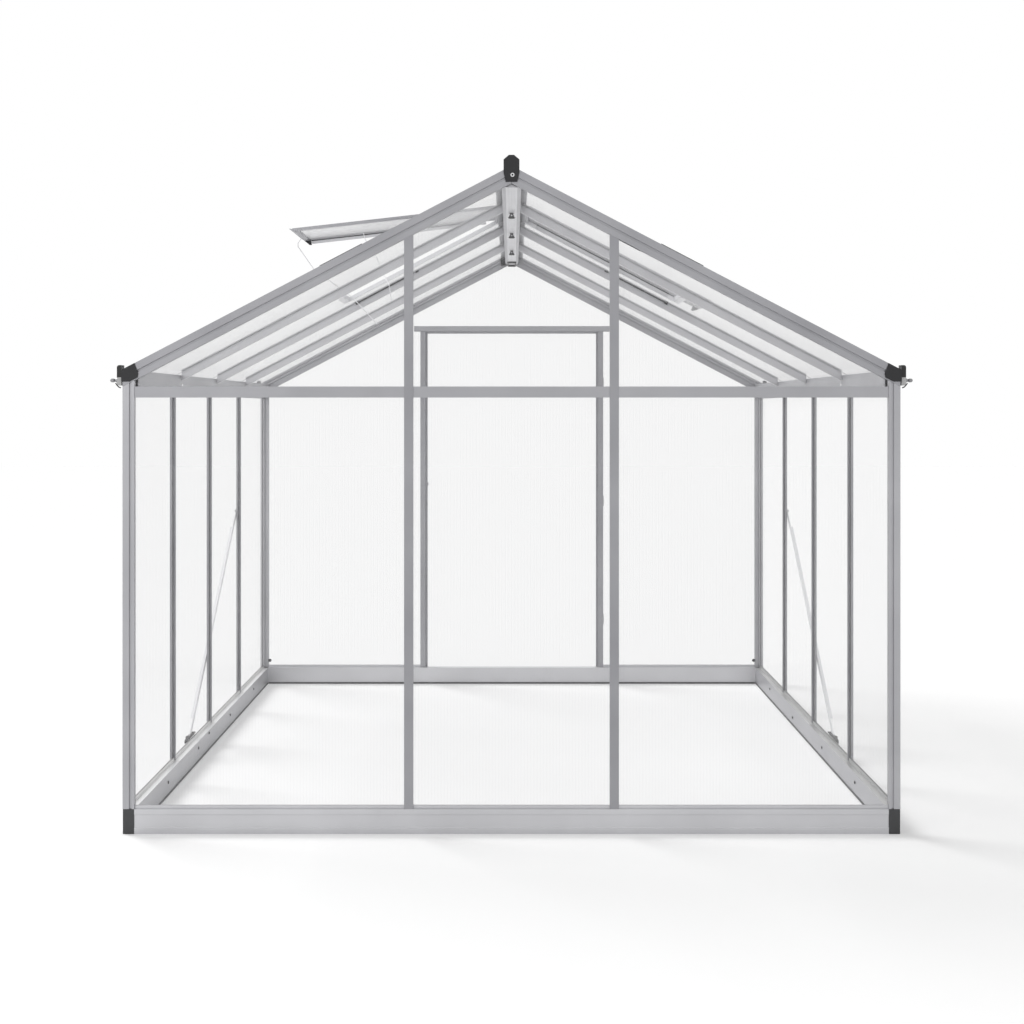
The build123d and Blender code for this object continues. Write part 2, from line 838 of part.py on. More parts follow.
def eave_caps():
    """Black caps over the feet of the gable rafters."""
    outer = half_width + fit + cap_wall
    inner = outer - eave_cap_width
    nose = inner - eave_cap_lean + eave_cap_nose
    low = eave_height - eave_cap_drop
    outline = [
        (outer, low),
        (outer - eave_cap_foot, low),
        (inner, low + eave_cap_knee),
        (inner - eave_cap_lean, low + eave_cap_knee + eave_cap_cheek),
        (nose, roof_line(nose)),
        (outer, roof_line(outer)),
    ]
    front = -half_length - fit
    back = front + corner_width
    face = Plane((0, front, 0), x_dir=(1, 0, 0), z_dir=(0, -1, 0))
    plate = extrude(face * polygon(outline), cap_wall)
    side = block(half_width + fit, outer, front, back, low, roof_line(outer))
    return front_and_rear(left_and_right(plate + side))


def gutter_ends():
    """Black moulded ends that close the gutters."""
    x0 = half_width + 2 * fit + cap_wall
    x1 = half_width + gutter_reach + cap_wall
    y0 = -half_length
    top = eave_height + gutter_end_rise
    body = block(x0, x1, y0, y0 + corner_width, eave_height - gutter_end_drop, top)
    body = fillet(body.edges().filter_by(Axis.Y).group_by(Axis.X)[-1], gutter_end_round)
    return front_and_rear(left_and_right(body))


def outlets():
    """Metal outlet nozzles on the gutter ends."""
    ball = nozzle_length - nozzle_ball
    neck = ball - nozzle_ball
    round_half = nozzle_ball / 2
    profile = [
        (0, nozzle_bore),
        (0, nozzle_foot),
        (neck - wall, nozzle_collar),
        (neck, nozzle_neck),
        (ball - round_half, nozzle_ball - wall / 2),
        (ball + round_half, nozzle_ball - wall / 2),
        (nozzle_length, nozzle_neck),
        (nozzle_length, nozzle_bore),
    ]
    body = revolve(polygon(profile), Axis.X)
    x = half_width + gutter_reach + cap_wall
    y = -half_length + corner_width / 2
    return front_and_rear(left_and_right(Pos(x, y, eave_height - nozzle_drop) * body))


def side_braces():
    """Angle sections on the outside of the walls, from the plinth up to the third post."""
    y0 = -half_length + brace_foot_back
    y1 = stud_places[-1]
    z0 = base_body - brace_foot_drop
    run = y1 - y0
    rise = brace_top_height - z0
    middle = (half_width, (y0 + y1) / 2, (z0 + brace_top_height) / 2)
    plane = Plane(middle, x_dir=(0, 1, 0), z_dir=(1, 0, 0))
    slant = Rot(0, 0, math.degrees(math.atan2(rise, run)))
    reach = math.hypot(run, rise)
    strip = slant * SlotCenterToCenter(reach, brace_width)
    end = reach / 2 - brace_bare_end
    edge = slant * cell(-end, end, brace_width / 2 - brace_thickness, brace_width / 2)
    brace = extrude(plane * strip, brace_thickness) + extrude(plane * edge, brace_flange)
    return left_and_right(brace)


def brace_clips():
    """Black arched clips over the feet of the braces."""
    half = clip_length / 2
    low = base_body - brace_foot_drop - clip_height / 2
    side = low + clip_height - clip_arch
    arch = ThreePointArc((half, side), (0, low + clip_height), (-half, side))
    foot = Polyline((-half, side), (-half, low), (half, low), (half, side))
    place = (half_width + brace_thickness, -half_length + brace_foot_back, 0)
    plane = Plane(place, x_dir=(0, 1, 0), z_dir=(1, 0, 0))
    clip = extrude(plane * make_face(foot + arch), cap_wall)
    return left_and_right(clip)


def frame_nodes():
    """Plinth, posts, rafters, beams and braces by name."""
    nodes = {}
    front, rear, right = bases()
    nodes["base_front"] = [front]
    nodes["base_rear"] = [rear]
    nodes["base_right"] = [right]
    nodes["base_left"] = to_left([right])
    nodes["base_corners"] = corner_pieces()
    nodes["corner_posts_front"] = corner_posts()
    nodes["corner_posts_rear"] = to_rear(nodes["corner_posts_front"])
    nodes["side_posts_right"] = side_posts()
    nodes["side_posts_left"] = to_left(nodes["side_posts_right"])
    nodes["gable_posts"] = front_gable_posts()
    nodes["front_transom"] = front_transom()
    nodes["front_rafters"] = gable_rafters()
    nodes["rear_rafters"] = to_rear(nodes["front_rafters"])
    nodes["middle_rafters_right"] = middle_rafters()
    nodes["middle_rafters_left"] = to_left(nodes["middle_rafters_right"])
    nodes["ridge_beam"] = [ridge_beam()]
    nodes["eave_beam_right"] = [right_eave_beam()]
    nodes["eave_beam_left"] = to_left(nodes["eave_beam_right"])
    nodes["side_braces"] = side_braces()
    nodes["door_posts"] = door_posts()
    nodes["door_head"] = [door_head()]
    return nodes


def cover_nodes():
    """Black covers, clips, gutter ends and their nozzles by name."""
    return {
        "ridge_caps": ridge_caps(),
        "eave_caps": eave_caps(),
        "gutter_ends": gutter_ends(),
        "gutter_outlets": outlets(),
        "brace_clips": brace_clips(),
    }


def sheet_nodes():
    """Clear sheets of the walls, gables and roof by name."""
    nodes = {}
    nodes["front_sheets"] = front_sheets()
    nodes["rear_sheets"] = rear_sheets()
    nodes["wall_sheets_right"] = wall_sheets()
    nodes["wall_sheets_left"] = to_left(nodes["wall_sheets_right"])
    nodes["roof_sheets_right"] = roof_sheets()
    nodes["roof_sheets_left"] = to_left(nodes["roof_sheets_right"])
    return nodes


def vent_nodes():
    """The closed vent of the right slope and the open vent of the left slope by name."""
    nodes = {}
    nodes["vent_kerb_right"] = [vent_kerb()]
    nodes["vent_kerb_left"] = to_left(nodes["vent_kerb_right"])
    frame, pane, corners = vent_leaf(0)
    nodes["vent_frame_right"] = frame
    nodes["vent_sheet_right"] = pane
    open_frame, open_pane, open_corners = vent_leaf(vent_open_angle)
    nodes["vent_frame_left"] = to_left(open_frame)
    nodes["vent_sheet_left"] = to_left(open_pane)
    nodes["vent_corners"] = corners + to_left(open_corners)
    return nodes


def door_nodes():
    """Leaf, hinges and knob of the door by name."""
    nodes = {}
    nodes["door_stiles"], nodes["door_rails"], nodes["door_sheet"] = door_leaf()
    nodes["door_hinge_brackets"], nodes["door_hinge_knuckles"] = door_hinges()
    nodes["door_knob"] = [door_knob()]
    return nodes


def main():
    os.makedirs("parts", exist_ok=True)
    groups = (frame_nodes(), cover_nodes(), sheet_nodes(), vent_nodes(), door_nodes())
    for nodes in groups:
        for node, shapes in nodes.items():
            placed = [to_origin * shape for shape in shapes]
            export_step(Compound(children=placed), f"parts/{node}.step")
            print(node, len(shapes))


main()
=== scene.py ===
# %% [markdown]
# A greenhouse in cells
#
# The greenhouse is an aluminium frame with clear twin-wall sheets pushed into its slots.
# Its shape is already there, as a model in which every bar and sheet is a node of its own.
# This lesson dresses it: it sets a camera and a soft studio, gives each node a finish made of
# shader nodes, and adds the small metal and plastic fittings that the bars are held with.
# Everything is in metres. X runs across the gables, Y from the closed gable to the door, Z up.

import math

import bmesh
import bpy
from mathutils import Matrix, Vector


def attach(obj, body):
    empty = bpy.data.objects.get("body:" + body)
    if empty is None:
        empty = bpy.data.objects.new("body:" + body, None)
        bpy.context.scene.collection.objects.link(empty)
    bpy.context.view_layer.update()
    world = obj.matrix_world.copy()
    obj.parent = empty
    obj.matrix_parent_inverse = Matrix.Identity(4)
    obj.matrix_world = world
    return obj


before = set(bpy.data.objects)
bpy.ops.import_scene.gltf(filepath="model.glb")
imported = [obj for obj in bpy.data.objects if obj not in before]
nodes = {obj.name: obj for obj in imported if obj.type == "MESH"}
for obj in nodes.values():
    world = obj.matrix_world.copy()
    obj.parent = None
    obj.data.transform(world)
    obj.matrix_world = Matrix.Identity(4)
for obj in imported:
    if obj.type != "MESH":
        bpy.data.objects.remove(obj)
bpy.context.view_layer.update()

# %% [markdown]
# The camera
#
# The picture looks straight along the building at eye height, so all uprights stay upright.
# A camera that is tilted would make them lean. Instead the camera stays level and its view is
# shifted down a little, which is what a photographer does with a shift lens.

# %% Camera
EYE_HEIGHT = 1.310
EYE_BACK = 4.651
EYE_SIDE = 0.0025
LENS = 52.8
SENSOR_WIDTH = 36.0
VIEW_END = 200.0
PICTURE_WIDTH = 1024.0
HORIZON_ABOVE_MIDDLE = 102.5 / PICTURE_WIDTH
VANISHING_RIGHT_OF_MIDDLE = 0.3 / PICTURE_WIDTH


def in_scene(name, data):
    """Object that holds the data, linked to the scene."""
    made = bpy.data.objects.new(name, data)
    bpy.context.scene.collection.objects.link(made)
    return made


camera_data = bpy.data.cameras.new("eye")
camera_data.lens = LENS
camera_data.sensor_width = SENSOR_WIDTH
camera_data.shift_x = -VANISHING_RIGHT_OF_MIDDLE
camera_data.shift_y = -HORIZON_ABOVE_MIDDLE
camera_data.clip_end = VIEW_END
camera = in_scene("eye", camera_data)
camera.location = (EYE_SIDE, -EYE_BACK, EYE_HEIGHT)
camera.rotation_euler = (math.radians(90), 0, 0)
bpy.context.scene.camera = camera
print("camera", tuple(camera.location))

# %% [markdown]
# Shader nodes from a script
#
# A finish is a small network of nodes that make numbers and colours, with links between their
# sockets. In the editor each node is dragged into place. In a script a few helpers keep this
# short: one empties a node tree, one gives an input a plain value or a link, and one places a
# math node and hands back its output, so that steps of arithmetic can be written in a row.

# %% Helpers for shader nodes


def empty_tree(owner):
    """Node list and link function of the emptied node tree of a material or world."""
    owner.use_nodes = True
    tree = owner.node_tree
    tree.nodes.clear()
    return tree.nodes, tree.links.new


def new_material(name):
    """Material with its empty node list and its link function."""
    material = bpy.data.materials.new(name)
    return (material, *empty_tree(material))


def feed(link, socket, value):
    """Give an input a plain value, or link another node's output to it."""
    if isinstance(value, bpy.types.NodeSocket):
        link(value, socket)
    else:
        socket.default_value = value


def math_node(made, link, operation, *values):
    """Output of a math node on one to three values or outputs."""
    node = made.new("ShaderNodeMath")
    node.operation = operation
    for socket, value in zip(node.inputs, values):
        feed(link, socket, value)
    return node.outputs[0]


def to_surface(made, link, shader):
    """Material output fed by a shader."""
    out = made.new("ShaderNodeOutputMaterial")
    link(shader.outputs[0], out.inputs["Surface"])


print("materials so far", len(bpy.data.materials))

# %% [markdown]
# The studio
#
# The floor is a large pale plane. It is lit like any surface, so it keeps the shadow of the
# frame, but part of its brightness is its own, seen by the camera and by what mirrors the
# floor. That lifts it to white without more light on the greenhouse. The world is white in the
# same way: to the camera, to glossy metal and through clear sheets. As a lamp it is a mid grey.

# %% Floor
FLOOR_SIZE = 60.0
FLOOR_ALBEDO = 0.82
FLOOR_GLOW = 0.265


def seen_directly(made, link):
    """One for rays of the camera, of glossy metal and through clear sheet, else nought."""
    path = made.new("ShaderNodeLightPath")
    total = path.outputs["Is Camera Ray"]
    for kind in ("Is Glossy Ray", "Is Transmission Ray"):
        total = math_node(made, link, "ADD", total, path.outputs[kind])
        total.node.use_clamp = True
    return total


def floor_material():
    """Matt floor with some brightness of its own."""
    material, made, link = new_material("studio_floor")
    matt = made.new("ShaderNodeBsdfDiffuse")
    matt.inputs["Color"].default_value = (FLOOR_ALBEDO, FLOOR_ALBEDO, FLOOR_ALBEDO, 1)
    glow = made.new("ShaderNodeEmission")
    strength = math_node(made, link, "MULTIPLY", seen_directly(made, link), FLOOR_GLOW)
    link(strength, glow.inputs["Strength"])
    both = made.new("ShaderNodeAddShader")
    link(matt.outputs[0], both.inputs[0])
    link(glow.outputs[0], both.inputs[1])
    to_surface(made, link, both)
    return material


def to_object(shape, name, finish):
    """Object at the origin from a bmesh, with a finish."""
    mesh = bpy.data.meshes.new(name)
    shape.to_mesh(mesh)
    shape.free()
    mesh.materials.append(finish)
    return in_scene(name, mesh)


shape = bmesh.new()
bmesh.ops.create_grid(shape, x_segments=1, y_segments=1, size=FLOOR_SIZE / 2)
to_object(shape, "studio_floor", floor_material())
print("floor", FLOOR_SIZE, "m wide")

# %% World
SKY = 0.46
SEEN_SKY = 1.0


def make_world():
    """World that is white to look at and a mid grey as a lamp."""
    world = bpy.data.worlds.new("studio")
    bpy.context.scene.world = world
    made, link = empty_tree(world)
    pick = made.new("ShaderNodeMix")
    pick.inputs["A"].default_value = SKY
    pick.inputs["B"].default_value = SEEN_SKY
    link(seen_directly(made, link), pick.inputs["Factor"])
    back = made.new("ShaderNodeBackground")
    back.inputs["Color"].default_value = (1, 1, 1, 1)
    link(pick.outputs["Result"], back.inputs["Strength"])
    out = made.new("ShaderNodeOutputWorld")
    link(back.outputs[0], out.inputs["Surface"])


make_world()
bpy.context.scene.view_settings.view_transform = "Standard"
print("sky", SKY)

# %% [markdown]
# Two lamps
#
# The light comes from above and behind on the left, from a very wide sun, so the shadow falls
# softly to the front and to the right. A soft square lamp stands in front on the left. It
# shades the gable from left to right, which keeps the bars from looking flat.

# %% Lamps
SUN_STRENGTH = 1.93
SUN_ANGLE = 27.0
SUN_WAY = (0.78, -0.60, -1.0)
SIDE_LAMP_POWER = 30.0
SIDE_LAMP_SIZE = 2.6
SIDE_LAMP_PLACE = (-3.6, -3.4, 2.6)
SIDE_LAMP_AIM = (-0.2, 0.6, 0.6)


def make_lamp(name, kind, energy, way):
    """Lamp of a kind that shines a way."""
    data = bpy.data.lights.new(name, kind)
    data.energy = energy
    lamp = in_scene(name, data)
    lamp.rotation_euler = Vector(way).to_track_quat("-Z", "Y").to_euler()
    return lamp


sun = make_lamp("key", "SUN", SUN_STRENGTH, SUN_WAY)
sun.data.angle = math.radians(SUN_ANGLE)
side_lamp_way = Vector(SIDE_LAMP_AIM) - Vector(SIDE_LAMP_PLACE)
side_lamp = make_lamp("side", "AREA", SIDE_LAMP_POWER, side_lamp_way)
side_lamp.data.shape = "SQUARE"
side_lamp.data.size = SIDE_LAMP_SIZE
side_lamp.location = SIDE_LAMP_PLACE
print("sun", SUN_STRENGTH, "side lamp", SIDE_LAMP_POWER)

# %% [markdown]
# Finishes as node groups
#
# Extruded aluminium is drawn through a die, so it carries faint lines along the bar, and its
# anodised skin is a little cloudy. Both come from noise: stretched far along the bar for the
# lines, and left round for the clouds. The group takes the position, turned so that its X runs
# along the bar, and gives out a tone and a height. A maker could paint this by hand, but noise
# in object coordinates follows every bar without unwrapping it.

# %% Group: drawn metal
LINE_SPACING = 0.0012
LINE_STRETCH = (0.004, 1.0, 1.0)
LINE_DETAIL = 2.0
CLOUD_SIZE = 0.25
CLOUD_DETAIL = 3.0


def new_group(name, inputs, outputs):
    """Shader group with its node list, its link function and its two end nodes."""
    group = bpy.data.node_groups.new(name, "ShaderNodeTree")
    for socket, kind, value in inputs:
        made = group.interface.new_socket(name=socket, in_out="INPUT", socket_type=kind)
        if value is not None:
            made.default_value = value
    for socket, kind in outputs:
        group.interface.new_socket(name=socket, in_out="OUTPUT", socket_type=kind)
    start = group.nodes.new("NodeGroupInput")
    end = group.nodes.new("NodeGroupOutput")
    return group, group.nodes, group.links.new, start, end


def noise(made, link, place, scale, detail):
    """Noise at a place; its scale may be a number or an output."""
    node = made.new("ShaderNodeTexNoise")
    node.inputs["Detail"].default_value = detail
    link(place, node.inputs["Vector"])
    feed(link, node.inputs["Scale"], scale)
    return node.outputs["Fac"]


def drawn_metal_group():
    """Lines along the bar and round clouds, each a number from nought to one."""
    group, made, link, start, end = new_group(
        "drawn_metal",
        [
            ("Along", "NodeSocketVector", None),
            ("Line Spacing", "NodeSocketFloat", LINE_SPACING),
            ("Cloud Size", "NodeSocketFloat", CLOUD_SIZE),
        ],
        [("Lines", "NodeSocketFloat"), ("Clouds", "NodeSocketFloat")],
    )
    place = start.outputs["Along"]
    stretch = made.new("ShaderNodeVectorMath")
    stretch.operation = "MULTIPLY"
    stretch.inputs[1].default_value = LINE_STRETCH
    link(place, stretch.inputs[0])
    per_line = math_node(made, link, "DIVIDE", 1.0, start.outputs["Line Spacing"])
    per_cloud = math_node(made, link, "DIVIDE", 1.0, start.outputs["Cloud Size"])
    lines = noise(made, link, stretch.outputs[0], per_line, LINE_DETAIL)
    clouds = noise(made, link, place, per_cloud, CLOUD_DETAIL)
    link(lines, end.inputs["Lines"])
    link(clouds, end.inputs["Clouds"])
    return group


drawn_metal = drawn_metal_group()
print("group", drawn_metal.name)

# %% [markdown]
# Bars that run different ways
#
# The lines have to run along each bar. Posts run along Z, plinth and beams along X or Y, and
# rafters up the slope on both sides of the ridge. A small group turns the position so that its
# X is the way the bar runs. For rafters it first folds the left side onto the right.

# %% Group: along the bar
ROOF_PITCH = math.radians(27.63)
TURNS = {
    "x": (0.0, 0.0, 0.0),
    "y": (0.0, 0.0, -math.pi / 2),
    "z": (0.0, math.pi / 2, 0.0),
    "slope": (0.0, -ROOF_PITCH, 0.0),
}


def along_group(way):
    """Position turned so that its X is the way that a bar runs."""
    group, made, link, start, end = new_group(
        "along_" + way,
        [("Position", "NodeSocketVector", None)],
        [("Along", "NodeSocketVector")],
    )
    parts = made.new("ShaderNodeSeparateXYZ")
    link(start.outputs["Position"], parts.inputs[0])
    across = parts.outputs["X"]
    if way == "slope":
        across = math_node(made, link, "ABSOLUTE", across)
    folded = made.new("ShaderNodeCombineXYZ")
    link(across, folded.inputs["X"])
    link(parts.outputs["Y"], folded.inputs["Y"])
    link(parts.outputs["Z"], folded.inputs["Z"])
    turn = made.new("ShaderNodeVectorRotate")
    turn.rotation_type = "EULER_XYZ"
    turn.inputs["Rotation"].default_value = TURNS[way]
    link(folded.outputs[0], turn.inputs["Vector"])
    link(turn.outputs[0], end.inputs["Along"])
    return group


along = {way: along_group(way) for way in TURNS}
print("ways", ", ".join(along))

# %% [markdown]
# Colours out of noise
#
# Noise gives a number round a half, which seldom leaves the range from 0.3 to 0.7. That range
# is stretched to the two ends of a colour or of a roughness. A colour can also change at a
# height, for a rim that is painted paler than the side below it, as light on its top. A second
# material on some of the faces would do this too, but here the edge runs across a face.

# %% Helpers for colours, roughness and bumps
NOISE_SPAN = (0.3, 0.7)
HEIGHT_EDGE = 0.0006


def spread(made, link, source, low, high, span=NOISE_SPAN):
    """Number that goes from low to high as the source goes through a span."""
    node = made.new("ShaderNodeMapRange")
    names = ("From Min", "From Max", "To Min", "To Max")
    for name, value in zip(names, (*span, low, high)):
        node.inputs[name].default_value = value
    link(source, node.inputs["Value"])
    return node.outputs[0]


def mixed(made, link, factor, first, second):
    """Mix of two colours; each may be a value or an output."""
    mix = made.new("ShaderNodeMix")
    mix.data_type = "RGBA"
    link(factor, mix.inputs["Factor"])
    feed(link, mix.inputs["A"], first)
    feed(link, mix.inputs["B"], second)
    return mix.outputs["Result"]


def ramp(made, link, source, dark, pale):
    """Colour that goes from dark to pale with a noise."""
    return mixed(made, link, spread(made, link, source, 0.0, 1.0), (*dark, 1), (*pale, 1))


def above_height(made, link, position, height, below, above):
    """One colour below a height and another above it."""
    parts = made.new("ShaderNodeSeparateXYZ")
    link(position, parts.inputs[0])
    edge = (height - HEIGHT_EDGE, height)
    step = spread(made, link, parts.outputs["Z"], 0.0, 1.0, edge)
    return mixed(made, link, step, below, above)


def uneven_gloss(made, link, shader, source, roughness, change):
    """Roughness of a shader that varies with a noise by a change either way."""
    rough = spread(made, link, source, roughness - change, roughness + change)
    link(rough, shader.inputs["Roughness"])


def bumped(made, link, shader, height, strength, depth):
    """Bump of a shader's surface."""
    bump = made.new("ShaderNodeBump")
    bump.inputs["Strength"].default_value = strength
    bump.inputs["Distance"].default_value = depth
    link(height, bump.inputs["Height"])
    link(bump.outputs[0], shader.inputs["Normal"])


print("noise is read from", NOISE_SPAN[0], "to", NOISE_SPAN[1])

# %% [markdown]
# Aluminium
#
# Anodised aluminium isn't a mirror: its skin scatters light, so it is a metal with a roughness
# near a half. The drawn lines change the roughness and the colour only slightly, and a bump
# node lets them catch the light along the bar.

# %% Aluminium
ANODISED_METALLIC = 0.75
ANODISED_ROUGHNESS = 0.42
ANODISED_CHANGE = 0.06
LINE_BUMP = 0.12
LINE_DEPTH = 0.0002


def place_group(made, group):
    """Node that holds a group."""
    node = made.new("ShaderNodeGroup")
    node.node_tree = group
    return node


def aluminium(name, way, dark, pale, rim=None):
    """Drawn and anodised bar; above the height of its rim it is as pale as the rim: painted light.
    """
    material, made, link = new_material(name)
    position = made.new("ShaderNodeTexCoord").outputs["Object"]
    turned = place_group(made, along[way])
    link(position, turned.inputs["Position"])
    skin = place_group(made, drawn_metal)
    skin.inputs["Line Spacing"].default_value = LINE_SPACING
    skin.inputs["Cloud Size"].default_value = CLOUD_SIZE
    link(turned.outputs["Along"], skin.inputs["Along"])
    lines = skin.outputs["Lines"]
    colour = ramp(made, link, skin.outputs["Clouds"], dark, pale)
    # The rim's tone is painted light on the rim's top, which faces the sky.
    if rim:
        height, tone = rim
        colour = above_height(made, link, position, height, colour, (tone, tone, tone, 1))
    shader = made.new("ShaderNodeBsdfPrincipled")
    shader.inputs["Metallic"].default_value = ANODISED_METALLIC
    link(colour, shader.inputs["Base Color"])
    uneven_gloss(made, link, shader, lines, ANODISED_ROUGHNESS, ANODISED_CHANGE)
    bumped(made, link, shader, lines, LINE_BUMP, LINE_DEPTH)
    to_surface(made, link, shader)
    return material


print("anodised skin of roughness", ANODISED_ROUGHNESS)

# %% [markdown]
# One metal, many tones
#
# All bars are the same metal, yet they show in different greys, because each kind faces other
# parts of the room. So each kind of bar gets a tone of its own, which is painted light and
# shade, and the way that its lines run. The side rails of the plinth also have a paler rim,
# painted light, because the rim's top faces the sky while the side below it stands upright.

# %% Tones of the bars, painted light and shade
TONE_SPREAD = 0.03
BLUE_TINT = 0.02
SIDE_PLINTH_RIM = 0.0768
# Each tone is painted light and shade: every kind of bar is a lit or shaded copy of the same
# aluminium.
PAINTED_LIGHT_TONES = {
    "posts": ("z", 0.35),
    "corner_posts": ("z", 0.45),
    "cross_bars": ("x", 0.41),
    "side_posts": ("z", 0.27),
    "beams": ("y", 0.38),
    "gable_rafters": ("slope", 0.38),
    "rafters": ("slope", 0.54),
    "braces": ("z", 0.78),
    "kerbs": ("slope", 0.78),
    "ridge_strip": ("y", 0.66),
    "plinth_gables": ("x", 0.61),
    # The rims of the side rails are painted light on their tops, paler on the left, where the light
    # comes from.
    "plinth_left": ("y", 0.47, (SIDE_PLINTH_RIM, 0.76)),
    "plinth_right": ("y", 0.47, (SIDE_PLINTH_RIM, 0.50)),
    "ridge_beam": ("y", 0.45),
    "vents": ("slope", 0.37),
    "vent_flanges": ("slope", 0.60),
}


def toned(name, way, tone, rim=None):
    """Aluminium finish round a tone, with a slightly darker and a slightly paler end."""
    dark, pale = tone - TONE_SPREAD, tone + TONE_SPREAD
    return aluminium(
        name, way, (dark, dark, dark + BLUE_TINT), (pale, pale, pale + BLUE_TINT), rim
    )


bars = {name: toned("aluminium_" + name, *row) for name, row in PAINTED_LIGHT_TONES.items()}
print("aluminium", ", ".join(f"{name} {row[1]}" for name, row in PAINTED_LIGHT_TONES.items()))

# %% [markdown]
# Clear twin-wall sheet
#
# The sheet is two clear skins joined by ribs that run down it. From a distance it shows as a
# faint grey with fine stripes. Real refraction through every rib would take long to render and
# would throw dark shadows, so the sheet is mostly a see-through shader, with a little grey and
# gloss laid over it: more where a rib is, and more where the sheet is seen at a low angle. The
# camera sees all of that grey, but only a part of it holds back the light that falls through
# the sheet, or the greenhouse would stand in its own shade.

# %% Group: ribs
RIB_PITCH = 0.0099
RIB_SHARPNESS = 3.0


def rib_group():
    """Height of the ribs as a wave, and a narrow mask of where they are."""
    group, made, link, start, end = new_group(
        "sheet_ribs",
        [("Across", "NodeSocketFloat", 0.0), ("Pitch", "NodeSocketFloat", RIB_PITCH)],
        [("Rib", "NodeSocketFloat"), ("Height", "NodeSocketFloat")],
    )
    turns = math_node(made, link, "DIVIDE", start.outputs["Across"], start.outputs["Pitch"])
    angle = math_node(made, link, "MULTIPLY", turns, 2 * math.pi)
    wave = math_node(made, link, "COSINE", angle)
    height = math_node(made, link, "MULTIPLY_ADD", wave, 0.5, 0.5)
    link(math_node(made, link, "POWER", height, RIB_SHARPNESS), end.inputs["Rib"])
    link(height, end.inputs["Height"])
    return group


sheet_ribs = rib_group()
print("rib pitch", RIB_PITCH)

# %% Clear sheet
LOW_ANGLE_BLEND = 0.25
SKIN_COLOUR = (0.90, 0.90, 0.91, 1)
SKIN_ROUGHNESS = 0.22
RIB_BUMP = 0.12
RIB_DEPTH = 0.0004


def sheet_mask(made, link, ribs, haze, rib_haze, grazing, cast):
    """How much of the skin shows: full to the camera, its cast to light on other pieces."""
    edge = made.new("ShaderNodeLayerWeight")
    edge.inputs["Blend"].default_value = LOW_ANGLE_BLEND
    low_angle = math_node(made, link, "MULTIPLY", edge.outputs["Facing"], grazing)
    striped = math_node(made, link, "MULTIPLY", ribs.outputs["Rib"], rib_haze)
    seen = math_node(made, link, "ADD", math_node(made, link, "ADD", low_angle, striped), haze)
    camera_ray = made.new("ShaderNodeLightPath").outputs["Is Camera Ray"]
    held = math_node(made, link, "MULTIPLY_ADD", camera_ray, 1.0 - cast, cast)
    return math_node(made, link, "MULTIPLY", seen, held)


def clear_sheet(name, way, **shares):
    """Clear sheet with ribs across a way and the shares that sheet_mask takes."""
    material, made, link = new_material(name)
    parts = made.new("ShaderNodeSeparateXYZ")
    link(made.new("ShaderNodeTexCoord").outputs["Object"], parts.inputs[0])
    ribs = place_group(made, sheet_ribs)
    ribs.inputs["Pitch"].default_value = RIB_PITCH
    link(parts.outputs[way], ribs.inputs["Across"])
    clear = made.new("ShaderNodeBsdfTransparent")
    skin = made.new("ShaderNodeBsdfPrincipled")
    skin.inputs["Base Color"].default_value = SKIN_COLOUR
    skin.inputs["Roughness"].default_value = SKIN_ROUGHNESS
    bumped(made, link, skin, ribs.outputs["Height"], RIB_BUMP, RIB_DEPTH)
    mix = made.new("ShaderNodeMixShader")
    link(sheet_mask(made, link, ribs, **shares), mix.inputs[0])
    link(clear.outputs[0], mix.inputs[1])
    link(skin.outputs[0], mix.inputs[2])
    to_surface(made, link, mix)
    return material


SHEETS = {
    "gable": ("X", dict(haze=0.05, rib_haze=0.013, grazing=0.05, cast=0.30)),
    "wall": ("Y", dict(haze=0.05, rib_haze=0.013, grazing=0.06, cast=0.20)),
    "roof": ("Y", dict(haze=0.22, rib_haze=0.030, grazing=0.05, cast=0.13)),
    "vent": ("Y", dict(haze=0.62, rib_haze=0.030, grazing=0.05, cast=0.12)),
}
sheets = {
    name: clear_sheet("clear_sheet_" + name, way, **shares)
    for name, (way, shares) in SHEETS.items()
}
print("sheets", ", ".join(sheets))

# %% [markdown]
# Plastic and bright metal
#
# The caps are injection moulded: near black, with the fine grain of a spark-eroded mould. The
# grain is a bump from small noise, and broad noise makes the gloss uneven. The gutter ends are
# black only above their foot, which is as pale as the metal beside it. Turned metal has the
# same fine grain, so it is made by the same function, as a full metal.

# %% Moulded plastic and bright metal
GRAIN_SIZE = 0.0012
GRAIN_BUMP = 0.35
GRAIN_DEPTH = 0.0002
BROAD_SCALE = 28.0
NOISE_DETAIL = 2.0
MOULDED_CHANGE = 0.05
GUTTER_END_FOOT = (1.4095, 0.55)


def grained(name, dark, pale, roughness, foot=None, metallic=0.0):
    """Moulded or turned finish; below the height of its foot it is as pale as the foot."""
    material, made, link = new_material(name)
    position = made.new("ShaderNodeTexCoord").outputs["Object"]
    fine = noise(made, link, position, 1.0 / GRAIN_SIZE, NOISE_DETAIL)
    broad = noise(made, link, position, BROAD_SCALE, NOISE_DETAIL)
    colour = ramp(made, link, broad, dark, pale)
    if foot:
        height, tone = foot
        colour = above_height(made, link, position, height, (tone, tone, tone, 1), colour)
    shader = made.new("ShaderNodeBsdfPrincipled")
    shader.inputs["Metallic"].default_value = metallic
    link(colour, shader.inputs["Base Color"])
    uneven_gloss(made, link, shader, broad, roughness, MOULDED_CHANGE)
    bumped(made, link, shader, fine, GRAIN_BUMP, GRAIN_DEPTH)
    to_surface(made, link, shader)
    return material


